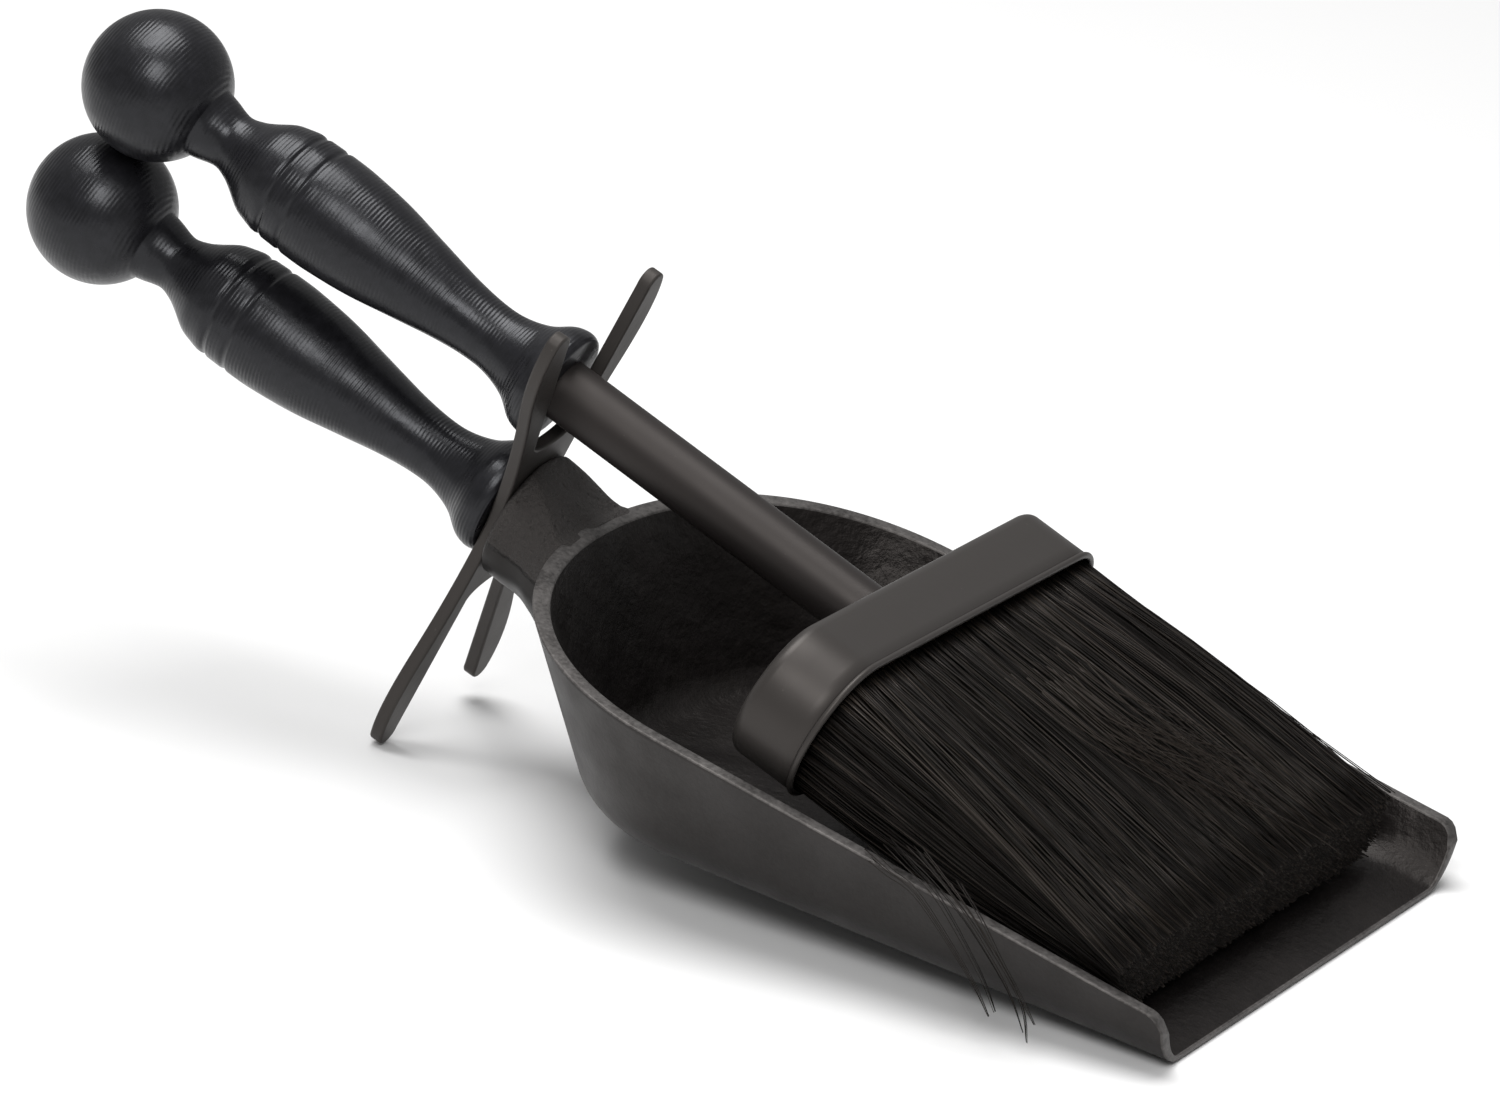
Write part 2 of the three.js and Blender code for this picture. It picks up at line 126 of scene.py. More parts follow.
def mesh_object(name, points, quads, place, finishes, face_finish=None, sharp=35):
    merged, index = np.unique(np.round(points, 4), axis=0, return_inverse=True)
    quads = index.reshape(-1)[quads]
    lost = quads == np.roll(quads, -1, axis=1)
    whole = ~lost.any(axis=1)
    one = lost.sum(axis=1) == 1
    first = np.argmax(lost[one], axis=1)
    order = (first[:, None] + np.arange(1, 4)) % 4
    triangles = np.take_along_axis(quads[one], order, axis=1)
    quads4 = quads[whole]
    halves = np.concatenate([quads4[:, [0, 1, 2]], quads4[:, [0, 2, 3]], triangles])
    if signed_volume(merged, halves) < 0:
        quads4, triangles = quads4[:, ::-1], triangles[:, ::-1]
    mesh = bpy.data.meshes.new(name)
    corners = np.concatenate([quads4.ravel(), triangles.ravel()]).astype(np.int32)
    totals = np.concatenate([np.full(len(quads4), 4), np.full(len(triangles), 3)])
    starts = np.concatenate([[0], np.cumsum(totals)[:-1]]).astype(np.int32)
    mesh.vertices.add(len(merged))
    mesh.vertices.foreach_set("co", (placed(merged, place) * MM).astype(np.float32).ravel())
    mesh.loops.add(len(corners))
    mesh.loops.foreach_set("vertex_index", corners)
    mesh.polygons.add(len(totals))
    mesh.polygons.foreach_set("loop_start", starts)
    if face_finish is not None:
        kinds = np.concatenate([face_finish[whole], face_finish[one]]).astype(np.int32)
        mesh.polygons.foreach_set("material_index", kinds)
    mesh.update(calc_edges=True)
    local = mesh.attributes.new("local", "FLOAT_VECTOR", "POINT")
    local.data.foreach_set("vector", (merged * MM).astype(np.float32).ravel())
    mesh.shade_smooth()
    mesh.set_sharp_from_angle(angle=math.radians(sharp))
    for finish in finishes:
        mesh.materials.append(finish)
    made = bpy.data.objects.new(name, mesh)
    bpy.context.scene.collection.objects.link(made)
    print(name, len(merged), "points", len(halves), "triangles")
    return made


def turned_points(profile, sides):
    """A profile of (radius, along) carried round Y: x = r sin a, y = along, z = r cos a."""
    angle = np.linspace(0, 2 * np.pi, sides, endpoint=False)
    r, along = profile[:, :1], profile[:, 1:]
    return np.stack([r * np.sin(angle), along + 0 * angle, r * np.cos(angle)], axis=-1)


def smooth_curve(points, count):
    """A curve through the points: between two of them a cubic whose slope at each is half the step from the
    point before it to the point after it."""
    p = np.asarray(points, float)
    t = np.linspace(0, len(p) - 1, count)
    i = np.minimum(t.astype(int), len(p) - 2)
    w = (t - i)[:, None]
    last = len(p) - 1
    p0, p1, p2, p3 = p[np.maximum(i - 1, 0)], p[i], p[i + 1], p[np.minimum(i + 2, last)]
    v0, v1 = (p2 - p0) / 2, (p3 - p1) / 2
    return (2 * p1 - 2 * p2 + v0 + v1) * w**3 + (-3 * p1 + 3 * p2 - 2 * v0 - v1) * w**2 + v0 * w + p1


def smoothstep(x):
    """3x^2 - 2x^3 on x held between 0 and 1."""
    x = np.clip(x, 0, 1)
    return x * x * (3 - 2 * x)


# %% [markdown]
# The whole set is black, so what tells its pieces apart is how they shine. The casting is painted over iron that
# came out of a sand mould: grainy inside the pan and smoother outside. The band along the rim is painted lighter,
# with bright patches: a painted highlight where the rounded rim catches the light, together with a little rubbing
# of the paint. The handles keep the fine rings of the turning tool under their paint. The tube, the ferrule and
# the plate are smooth satin steel. Each finish is a Principled shader with a dark base; noise moves its roughness
# and a bump carries the grain, so the soft lights break up on it as on real paint.

# %% Node helpers
def node(tree, kind, inputs=None, **settings):
    made = tree.nodes.new(kind)
    for key, value in settings.items():
        setattr(made, key, value)
    for key, value in (inputs or {}).items():
        if isinstance(value, bpy.types.NodeSocket):
            tree.links.new(value, made.inputs[key])
        else:
            made.inputs[key].default_value = value
    return made


WARM, COOL = (1.0, 0.92, 0.87, 1.0), (0.94, 0.955, 1.0, 1.0)


def new_finish(name, color, roughness, gloss=0.35, tint=WARM, **sockets):
    made = bpy.data.materials.new(name)
    made.use_nodes = True
    tree = made.node_tree
    shader = tree.nodes["Principled BSDF"]
    shader.inputs["Base Color"].default_value = (*color, 1)
    shader.inputs["Roughness"].default_value = roughness
    shader.inputs["Specular IOR Level"].default_value = gloss
    shader.inputs["Specular Tint"].default_value = tint
    for key, value in sockets.items():
        shader.inputs[key].default_value = value
    made.diffuse_color = (*color, 1)
    return made, tree, shader


def object_place(tree):
    return node(tree, "ShaderNodeTexCoord").outputs["Object"]


def local_place(tree):
    return node(tree, "ShaderNodeAttribute", attribute_name="local").outputs["Vector"]


def noise(tree, place, scale, detail=3.0, rough=0.55):
    made = node(tree, "ShaderNodeTexNoise", {"Vector": place, "Scale": scale, "Detail": detail, "Roughness": rough})
    return made.outputs["Fac"]


def ranged(tree, value, low, high, from_low=0.3, from_high=0.7):
    made = node(tree, "ShaderNodeMapRange", {"Value": value, "From Min": from_low, "From Max": from_high,
                                             "To Min": low, "To Max": high})
    return made.outputs["Result"]


def mixed_color(tree, share, dark, light):
    made = node(tree, "ShaderNodeMix", {"Factor": share}, data_type="RGBA")
    made.inputs[6].default_value = (*dark, 1)
    made.inputs[7].default_value = (*light, 1)
    return made.outputs[2]


def bump(tree, height, strength, distance, before=None):
    inputs = {"Height": height, "Strength": strength, "Distance": distance}
    if before is not None:
        inputs["Normal"] = before
    return node(tree, "ShaderNodeBump", inputs).outputs["Normal"]


def math_node(tree, operation, a, b=0.0):
    made = node(tree, "ShaderNodeMath", {0: a, 1: b}, operation=operation)
    return made.outputs[0]


# %% Finishes of the casting
def cast_finish(name, base, roughness, grain, grain_scale, pits, light_patch_gain=1.5, gloss=0.35):
    """Paint over sand-cast iron: a slow waviness, a grain of the sand's size and, where asked, small pits."""
    made, tree, shader = new_finish(name, base, roughness, gloss)
    place = object_place(tree)
    slow = noise(tree, place, 60, 2)
    fine = noise(tree, place, grain_scale, 4, 0.65)
    tree.links.new(ranged(tree, slow, roughness - 0.07, roughness + 0.09), shader.inputs["Roughness"])
    # Random lighter patches in the colour; on the rim, where they are strongest, they are a painted highlight besides
    # a little rubbing of the paint.
    light_patch_mask = ranged(tree, math_node(tree, "ADD", fine, noise(tree, place, 38, 3)), 0, 1, 0.75, 1.3)
    dark, light = [c * 0.6 for c in base], [c * light_patch_gain for c in base]
    tree.links.new(mixed_color(tree, light_patch_mask, dark, light), shader.inputs["Base Color"])
    normal = bump(tree, slow, 0.25, 0.0006)
    normal = bump(tree, fine, grain, 0.00035, normal)
    if pits:
        cells = node(tree, "ShaderNodeTexVoronoi", {"Vector": place, "Scale": grain_scale * 0.55})
        pit = ranged(tree, cells.outputs["Distance"], 0, 1, 0.0, 0.35)
        normal = bump(tree, pit, pits, 0.0004, normal)
    tree.links.new(normal, shader.inputs["Normal"])
    return made


pan_outside = cast_finish("cast_iron_outside", (0.0095, 0.0087, 0.0086), 0.44, 0.2, 700, 0)
pan_inside = cast_finish("cast_iron_inside", (0.0062, 0.0052, 0.005), 0.44, 1.0, 400, 0.2, 1.5, 0.22)
# The rim band gets a base about three times lighter than the walls, and patches up to four times lighter again: a
# painted highlight where the rounded rim catches the light, with a little rubbing of the paint.
rim_finish_with_painted_highlight = cast_finish("cast_iron_rim_painted_highlight", (0.026, 0.0245, 0.0238), 0.45, 0.5, 700, 0.1, 4)

# %% Finish of the socket: rough above the parting line, smooth below it, with a painted highlight above and painted shade below
socket_finish, tree, shader = new_finish("cast_iron_socket", (0.012, 0.0118, 0.012), 0.45, 0.25)
place = object_place(tree)
height = node(tree, "ShaderNodeSeparateXYZ", {"Vector": local_place(tree)}).outputs["Z"]
wobble = math_node(tree, "MULTIPLY", noise(tree, place, 260, 3), 0.0022)
above = ranged(tree, math_node(tree, "ADD", height, wobble), 0, 1, -0.0032, -0.0022)
grain = noise(tree, place, 620, 4, 0.65)
cells = node(tree, "ShaderNodeTexVoronoi", {"Vector": place, "Scale": 420})
pit = ranged(tree, cells.outputs["Distance"], 0, 1, 0.0, 0.3)
rough_height = math_node(tree, "MULTIPLY", math_node(tree, "ADD", grain, math_node(tree, "MULTIPLY", pit, 0.4)), above)
normal = bump(tree, noise(tree, place, 90, 2), 0.2, 0.0006)
normal = bump(tree, rough_height, 1.0, 0.001, normal)
normal = bump(tree, above, 0.9, 0.0005, normal)
tree.links.new(normal, shader.inputs["Normal"])
# The colour above the parting line is about four times lighter than below it: a painted highlight on the socket's top
# and painted shade on its underside, which is darker than the rest of the casting. The rough grain itself is only in
# the bump and the roughness.
tree.links.new(mixed_color(tree, above, (0.007, 0.0066, 0.0066), (0.03, 0.0275, 0.0265)), shader.inputs["Base Color"])
tree.links.new(ranged(tree, above, 0.4, 0.52, 0, 1), shader.inputs["Roughness"])

# %% Finish of the turned handles
# Rings of the turning tool about a millimetre apart: a sine of the distance along the axis, made uneven by noise.
handle_finish, tree, shader = new_finish("turned_black_paint", (0.008, 0.008, 0.0095), 0.3, 0.33, COOL)
local = local_place(tree)
along = node(tree, "ShaderNodeSeparateXYZ", {"Vector": local}).outputs["Y"]
wander = math_node(tree, "MULTIPLY", noise(tree, local, 110, 2), 0.0009)
RING_PITCH = 0.00102
uneven = math_node(tree, "ADD", along, wander)
rings = math_node(tree, "SINE", math_node(tree, "MULTIPLY", uneven, 2 * math.pi / RING_PITCH))
patches = ranged(tree, noise(tree, local, 75, 2), 0.25, 1.0, 0.42, 0.62)
ring_height = math_node(tree, "MULTIPLY", rings, patches)
drops = noise(tree, local, 420, 3)
normal = bump(tree, ring_height, 0.65, 0.00005)
normal = bump(tree, drops, 0.3, 0.0003, normal)
tree.links.new(normal, shader.inputs["Normal"])
tree.links.new(ranged(tree, noise(tree, local, 160, 3), 0.25, 0.37), shader.inputs["Roughness"])
tree.links.new(mixed_color(tree, ranged(tree, drops, 0, 1), (0.005, 0.0049, 0.0058), (0.0098, 0.0096, 0.0114)),
               shader.inputs["Base Color"])

# %% Finishes of the steel pieces
def satin_finish(name, base, roughness, wave=0.12, speckle=0.1):
    """Smooth sprayed paint on steel: faint orange peel, a slow change of gloss and a few dust specks."""
    made, tree, shader = new_finish(name, base, roughness)
    place = object_place(tree)
    slow = noise(tree, place, 35, 2)
    peel = noise(tree, place, 520, 2)
    dust = node(tree, "ShaderNodeTexVoronoi", {"Vector": place, "Scale": 160.0})
    speck = ranged(tree, dust.outputs["Distance"], 1, 0, 0.02, 0.05)
    tree.links.new(ranged(tree, slow, roughness - 0.05, roughness + 0.06), shader.inputs["Roughness"])
    tree.links.new(mixed_color(tree, math_node(tree, "MULTIPLY", speck, 0.6), base, [c * 2.2 for c in base]),
                   shader.inputs["Base Color"])
    normal = bump(tree, peel, wave, 0.00012)
    normal = bump(tree, speck, speckle, 0.0001, normal)
    tree.links.new(normal, shader.inputs["Normal"])
    return made


shaft_finish = satin_finish("satin_shaft", (0.0145, 0.0122, 0.0118), 0.48)
ferrule_finish = satin_finish("satin_ferrule", (0.0275, 0.0248, 0.0232), 0.42)
plate_finish = satin_finish("powder_coated_plate", (0.029, 0.0262, 0.0245), 0.5, 0.45)

# %% Finishes of the hidden pieces: zinc-plated steel and raw beech
zinc_finish, tree, shader = new_finish("zinc_plate", (0.6, 0.61, 0.63), 0.35, Metallic=1.0)
place = object_place(tree)
tree.links.new(ranged(tree, noise(tree, place, 300, 3), 0.26, 0.46), shader.inputs["Roughness"])
tree.links.new(bump(tree, noise(tree, place, 900, 2), 0.15, 0.0001), shader.inputs["Normal"])

beech_finish, tree, shader = new_finish("raw_beech", (0.4, 0.27, 0.15), 0.6)
stretched = node(tree, "ShaderNodeMapping", {"Vector": object_place(tree), "Scale": (6, 90, 90)}).outputs["Vector"]
figure = noise(tree, stretched, 9, 5)
grain_color = mixed_color(tree, ranged(tree, figure, 0, 1), (0.3, 0.19, 0.1), (0.46, 0.32, 0.19))
tree.links.new(grain_color, shader.inputs["Base Color"])
tree.links.new(bump(tree, figure, 0.3, 0.0002), shader.inputs["Normal"])
print(len(bpy.data.materials), "materials")

# %% [markdown]
# The pan is one iron casting. Its floor tapers a little from the mouth and ends in a rounded back; the walls lean
# outwards, get higher towards the back and have a flat rim. It could be cut out of blocks, but a casting has even
# walls and soft edges everywhere, so it is worked out as two skins on one grid: across it runs the outline from
# the left front corner round the back to the right front corner, and up it runs from the floor's middle line to
# the rim. The outer and the inner skin are the same formula with another foot radius and offset, and a band with
# rounded edges joins them along the rim and the mouth.

# %% The pan's outline and walls
MOUTH_HALF, REAR_HALF, SIDE, LENGTH = 77.0, 65.0, 142.0, 184.0
FRONT_HEIGHT, REAR_HEIGHT, FLARE = 14.5, 49.0, 0.45
WALL, FLOOR, OUTER_FOOT, INNER_FOOT = 4.2, 4.0, 9.0, 6.0
LIP_LENGTH, LIP_EDGE, FRONT_CORNER, SOFT = 13.0, 1.4, 5.0, 0.5
TAPER = (MOUTH_HALF - REAR_HALF) / SIDE
RISE = (REAR_HEIGHT - FRONT_HEIGHT) / (LENGTH + REAR_HEIGHT * FLARE)


def half_outline(side_count, back_count):
    """A straight side from the mouth, then a cubic Bezier to the middle of the back, as (x, y) points."""
    y = np.linspace(0, SIDE, side_count, endpoint=False)
    side = np.stack([MOUTH_HALF - TAPER * y, y], axis=1)
    reach = (LENGTH - SIDE) * 0.6
    a, b = np.array([REAR_HALF, SIDE]), np.array([REAR_HALF - TAPER * reach, SIDE + reach])
    c, d = np.array([REAR_HALF * 0.58, LENGTH]), np.array([0.0, LENGTH])
    t = np.linspace(0, 1, back_count)[:, None]
    back = (1 - t) ** 3 * a + 3 * (1 - t) ** 2 * t * b + 3 * (1 - t) * t**2 * c + t**3 * d
    return np.concatenate([side, back])


right_half = half_outline(100, 110)
outline = np.concatenate([right_half * [-1, 1], right_half[-2::-1]])
step = np.gradient(outline, axis=0)
outward = np.stack([-step[:, 1], step[:, 0]], axis=1)
outward /= np.linalg.norm(outward, axis=1)[:, None]


def foot_spread(height, foot):
    """How far the wall stands out at a height above its foot: height times the flare, less the round at the foot."""
    below = np.clip(1 - height / foot, 0, 1)
    return height * FLARE - foot * (1 - np.sqrt(1 - below**2)) * 0.9


def rim_height(y):
    """The rim rises in a straight line from the mouth, with a round at the front corner."""
    lost = FRONT_CORNER - np.sqrt(np.clip(FRONT_CORNER**2 - np.clip(FRONT_CORNER - y, 0, None) ** 2, 0, None))
    return FRONT_HEIGHT + RISE * y - lost


def skin(floor_height, foot, offset, rows_floor=26, rows_wall=44):
    """One skin of the pan as a grid (rows, outline): the floor from the middle line out, then the wall up."""
    count = len(outline)
    middle = np.stack([np.zeros(count), np.minimum(outline[:, 1], 150.0)], axis=1)
    top = rim_height(outline[:, 1])
    for _ in range(6):
        y = outline[:, 1] + outward[:, 1] * (foot_spread(top - floor_height, foot) + offset)
        top = rim_height(np.maximum(y, 0))
    top = top - SOFT
    share = np.linspace(0, 1, rows_floor, endpoint=False)[:, None, None]
    foot_line = outline + outward * (foot_spread(np.zeros(count), foot) + offset)[:, None]
    flat = middle * (1 - share) + foot_line * share
    flat = np.concatenate([flat, np.full((rows_floor, count, 1), floor_height)], axis=2)
    climb = np.concatenate([np.linspace(0, 1, 14, endpoint=False) ** 2 * 0.999, np.linspace(1, 2, rows_wall - 14)])
    climb = climb[:, None]
    low_part = foot * np.minimum(climb, 1)
    height = low_part + np.maximum(climb - 1, 0) * (top - floor_height - foot)[None, :]
    height = np.minimum(height, (top - floor_height)[None, :])
    spread = foot_spread(height, foot) + offset
    xy = outline[None] + outward[None] * spread[:, :, None]
    wall = np.concatenate([xy, (height + floor_height)[:, :, None]], axis=2)
    grid = np.concatenate([flat, wall])
    near = 1 - smoothstep(outline[:, 1] / 14)
    slip = grid[:, :, 1] - outline[None, :, 1]
    grid[:, :, 1] -= slip * near[None, :] * (grid[:, :, 1] > -50)
    grid[:, :, 1] += (SOFT + 0.15) * np.clip(1 - grid[:, :, 1] / 4, 0, 1)
    return grid


outer = skin(0.0, OUTER_FOOT, 0.0)
inner = skin(FLOOR, INNER_FOOT, FLOOR * FLARE - WALL)
lip = np.clip(inner[:, :, 1] / LIP_LENGTH, 0, 1)
drop = (FLOOR - LIP_EDGE) * (1 - lip) * np.clip(1 - (inner[:, :, 2] - FLOOR) / 5, 0, 1)
inner[:, :, 2] -= drop
print("pan grid", outer.shape)

# %% [markdown]
# A sand casting is never quite flat. The inner skin gets a slow waviness of a quarter of a millimetre from a sum
# of sines whose directions and phases come from a fixed seed; the finish's bump adds the finer grain.

# %% Waviness of the casting
def waviness(points, seed, wavelength, terms=14):
    """The mean of sines of the dot product of each point with random directions, times root two."""
    rng = np.random.default_rng(seed)
    direction = rng.normal(size=(terms, 3))
    direction /= np.linalg.norm(direction, axis=1)[:, None]
    pitch = wavelength * rng.uniform(0.6, 1.6, terms)
    phase = rng.uniform(0, 2 * np.pi, terms)
    return np.sin(points @ direction.T * (2 * np.pi / pitch) + phase).sum(axis=-1) / math.sqrt(terms / 2)


keep_edge = np.ones(inner.shape[:2])
keep_edge *= np.clip((inner[:, :, 1] - 2) / 10, 0, 1)
keep_edge[-6:] *= np.linspace(1, 0, 6)[:, None]
inner[:, :, 2] += 0.12 * waviness(inner, 3, 16) * keep_edge
sideways = 0.12 * waviness(inner, 5, 13) * keep_edge
inner[26:, :, 0] += (outward[None, :, 0] * sideways[26:])
inner[26:, :, 1] += (outward[None, :, 1] * sideways[26:])


# %% The band along the rim and the mouth
def border(grid):
    """The skin's edge as one closed line: up the left mouth edge, round the rim, down the right mouth edge."""
    return np.concatenate([grid[:-1, 0], grid[-1, :], grid[-2::-1, -1]])


rows, columns = outer.shape[:2]
outer_edge, inner_edge = border(outer), border(inner)
forward = np.zeros_like(outer_edge)
forward[: rows - 1, 1] = -1
forward[rows - 1 + columns:, 1] = -1
forward[rows - 1: rows - 1 + columns, 2] = 1
for corner, side in ((rows - 1, 1), (rows - 2 + columns, -1)):
    forward[corner] = (0, -0.7, 0.7)
share = np.array([0.03, 0.08, 0.16, 0.5, 0.84, 0.92, 0.97])
bulge = np.sqrt(np.clip(1 - (1 - np.minimum(share, 1 - share) / 0.16).clip(0, 1) ** 2, 0, 1))
band = [outer_edge * (1 - s) + inner_edge * s + forward * SOFT * b for s, b in zip(share, bulge)]
band_grid = np.stack([outer_edge, *band, inner_edge])
points = np.concatenate([outer.reshape(-1, 3), inner.reshape(-1, 3), band_grid.reshape(-1, 3)])
skin_quads = grid_quads(rows, columns)
inner_start = outer.shape[0] * outer.shape[1]
band_quads = grid_quads(len(band_grid), len(outer_edge), start=2 * inner_start)
quads = np.concatenate([skin_quads[:, ::-1], skin_quads + inner_start, band_quads[:, ::-1]])
finish_of = np.concatenate([np.zeros(len(skin_quads)), np.ones(len(skin_quads)), np.full(len(band_quads), 2)])
pan_shell = mesh_object("pan_shell", points, quads, PAN, [pan_outside, pan_inside, rim_finish_with_painted_highlight], finish_of.astype(int), 50)
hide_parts("pan_casting")
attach(pan_shell, "pan")

# %% [markdown]
# The socket is the stub of the casting that the handle's stud screws into. It is nearly round at the plate, is
# planed down to the rim on top, and widens in a fillet where it meets the back wall. It is a tube of rings along
# the stud's axis; each line along it stops two millimetres inside the wall, where the wall's own formula says.

# %% The socket
def behind_wall(points):
    """How far a point, in the pan's frame, lies behind the outer face of the back wall."""
    order = np.argsort(right_half[100:, 0])
    back_x, back_y = right_half[100:, 0][order], right_half[100:, 1][order]
    y = np.interp(np.abs(points[..., 0]), back_x, back_y)
    return points[..., 1] - y - foot_spread(np.maximum(points[..., 2], 0), OUTER_FOOT)


SOCKET_RADIUS, SOCKET_SWELL, PLANED_DROP, PLANED_LENGTH, PLANED_SOFT = 16.9, 4.0, 8.5, 17.5, 1.5
SOCKET_SIDES, SOCKET_IN_WALL, BEHIND_PLATE = 120, 2.0, 2.05


def socket_point(angle, down):
    """Round the axis by the angle, down it by the distance: x = R cos a, z = R sin a, held under the planed top."""
    swell = smoothstep((down - 9) / 16) ** 1.5 * SOCKET_SWELL
    radius = SOCKET_RADIUS + 0.3 * np.sin(np.clip(down / 20, 0, 1) * np.pi) + swell
    radius = radius - 1.2 * np.clip(1 - (down - 2) / 1.2, 0, 1) ** 2
    x, z = radius * np.cos(angle), radius * np.sin(angle)
    planed = SOCKET_RADIUS - PLANED_DROP * np.clip((down - 1) / PLANED_LENGTH, 0, 1)
    over = np.maximum(z - planed + PLANED_SOFT, 0)
    z = z - over + PLANED_SOFT * (1 - np.exp(-over / PLANED_SOFT))
    return np.stack([x, -down + 0 * angle, z], axis=-1)


to_pan = np.linalg.inv(PAN) @ STUD
angle = np.linspace(0, 2 * np.pi, SOCKET_SIDES, endpoint=False)
near_end, far_end = np.full(SOCKET_SIDES, 10.0), np.full(SOCKET_SIDES, 60.0)
for _ in range(30):
    half_way = (near_end + far_end) / 2
    outside = behind_wall(placed(socket_point(angle, half_way), to_pan)) > -SOCKET_IN_WALL
    near_end, far_end = np.where(outside, half_way, near_end), np.where(outside, far_end, half_way)
reach = BEHIND_PLATE + (near_end - BEHIND_PLATE) * np.linspace(0, 1, 50)[:, None]
rings = socket_point(np.broadcast_to(angle, reach.shape), reach)
rings = rings + 0.1 * waviness(rings, 8, 9)[..., None] * np.array([1, 0, 1]) * smoothstep((reach - 4) / 5)[..., None]
first, last = rings[:1].copy(), rings[-1:].copy()
first[..., 0], first[..., 2] = 0, 0
last[...] = last.mean(axis=1, keepdims=True)
rings = np.concatenate([first, rings, last])
socket_quads = grid_quads(len(rings), SOCKET_SIDES, wrap=True)
pan_socket = mesh_object("pan_socket", rings.reshape(-1, 3), socket_quads, STUD, [socket_finish])
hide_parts("pan_casting")
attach(pan_socket, "pan")

# %% [markdown]
# The two handles are the same turning: a bell at the front end, a waist, a long belly with two cut grooves, a
# thin neck and a ball. A turned shape is a profile carried round an axis, so it needs only the profile, a smooth
# curve through a few radii. The pan's handle starts just behind the plate, and the brush's a little further back.

# %% The turned handles
BALL, BALL_AT, NECK, WAIST, BELLY, BELL = 18.75, 127.6, 7.4, 8.1, 14.7, 14.8


def handle_profile():
    """(radius, along) from the flat front end to the pole of the ball."""
    front = smooth_curve([
        (BELL - 0.6, 0.2), (BELL, 1.5), (BELL, 3.5), (BELL - 1, 6.4), (WAIST + 2.4, 11.3), (WAIST + 0.4, 17.6),
        (WAIST, 24), (WAIST + 0.9, 33.2), (BELLY - 3.5, 45.7), (BELLY - 1.3, 58.1), (BELLY - 0.2, 69.1), (BELLY, 75),
        (BELLY - 0.1, 81.5), (BELLY - 0.3, 86.9)], 210)
    rear = smooth_curve([
        (BELLY - 0.3, 86.9), (BELLY - 0.9, 89.3), (BELLY - 2, 92.7), (NECK + 2.6, 97), (NECK + 1, 100),
        (NECK, 103.8), (NECK + 1.1, 108.4)], 60)[1:]
    body = np.concatenate([front, rear])
    for groove in (78.4, 84.7):
        body[:, 0] -= 0.55 * np.clip(1 - np.abs(body[:, 1] - groove) / 1.1, 0, 1)
    start = math.asin((NECK + 1.1) / BALL)
    turn = np.linspace(start, np.pi, 70)[1:]
    ball = np.stack([BALL * np.sin(turn), BALL_AT - BALL * np.cos(turn)], axis=1)
    ball[-1, 0] = 0
    return np.concatenate([[(0, 0), (BELL - 1.4, 0)], body, ball])


HANDLE_SIDES, BRUSH_GRIP_BEHIND = 110, 2.75
handle_points = turned_points(handle_profile(), HANDLE_SIDES)
handle_quads = grid_quads(len(handle_points), HANDLE_SIDES, wrap=True)
for name, node_name, place, begin, body in (("pan_grip", "pan_handle", STUD, BEHIND_PLATE, "pan"),
                                            ("brush_grip", "brush_handle", BRUSH, BRUSH_GRIP_BEHIND, "brush")):
    grip = mesh_object(name, handle_points.reshape(-1, 3), handle_quads, place @ moved(0, begin, 0),
                       [handle_finish], sharp=60)
    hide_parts(node_name)
    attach(grip, body)

# %% [markdown]
# The plate is cut from flat bar steel in the shape of an X: a waist at the stud, a deep fork above and below,
# bowed outer edges and round arm tips. Its outline is four like quarters: two quadratic curves up the outer edge,
# the tip's round, a straight inner edge and the round of the fork. The two faces are left flat, and a small bevel
# catches the light on the edges as the real cut edge does.

# %% The X-shaped plate
ARM_SPREAD, ARM_REACH, TIP, PLATE_WAIST, PLATE_THICK = 21.6, 62.5, 3.6, 11.0, 3.5
ARM_START, ARM_START_HALF, BOW, NOTCH, NOTCH_HALF, NOTCH_ROUND = 38.0, 21.0, 6.8, 22.3, 9.5, 2.7


def bent(a, b, c, count=14):
    """A quadratic curve from a to c, pulled towards b: (1-t)^2 a + 2(1-t)t b + t^2 c."""
    t = np.linspace(0, 1, count)[:, None]
    return (1 - t) ** 2 * np.array(a) + 2 * (1 - t) * t * np.array(b) + t**2 * np.array(c)


turn = np.linspace(np.pi / 6, np.pi, 17)[:, None]
tip = np.array([ARM_SPREAD, ARM_REACH]) + TIP * np.concatenate([np.cos(turn), np.sin(turn)], axis=1)
quarter = np.concatenate([
    bent((PLATE_WAIST, 0), (PLATE_WAIST + 1.5, ARM_START / 2), (ARM_START_HALF, ARM_START))[:-1],
    bent((ARM_START_HALF, ARM_START), (ARM_SPREAD + BOW, (ARM_START + 2 * ARM_REACH) / 3), tip[0])[:-1], tip,
    bent((NOTCH_HALF, NOTCH + NOTCH_ROUND), (NOTCH_HALF - NOTCH_ROUND / 2, NOTCH), (0, NOTCH))[:-1]])
upper = np.concatenate([quarter, [(0, NOTCH)], quarter[::-1] * [-1, 1]])
around = np.concatenate([upper[:-1], (upper * [-1, -1])[:-1]])
count = len(around)
roll = turn_y(-PLATE_ROLL)
side = np.stack([around[:, 0], np.full(count, -PLATE_THICK / 2), around[:, 1]], axis=1)
sheet = placed(np.concatenate([side, side + [0, PLATE_THICK, 0]]), STUD @ roll) * MM
ring = list(range(count))
faces = [ring, [count + i for i in reversed(ring)]]
faces += [[(i + 1) % count, i, count + i, count + (i + 1) % count] for i in ring]
mesh = bpy.data.meshes.new("rest_plate")
mesh.from_pydata(sheet.tolist(), [], faces)
mesh.materials.append(plate_finish)
rest_plate = bpy.data.objects.new("rest_plate", mesh)
bpy.context.scene.collection.objects.link(rest_plate)
edge = rest_plate.modifiers.new("edge", "BEVEL")
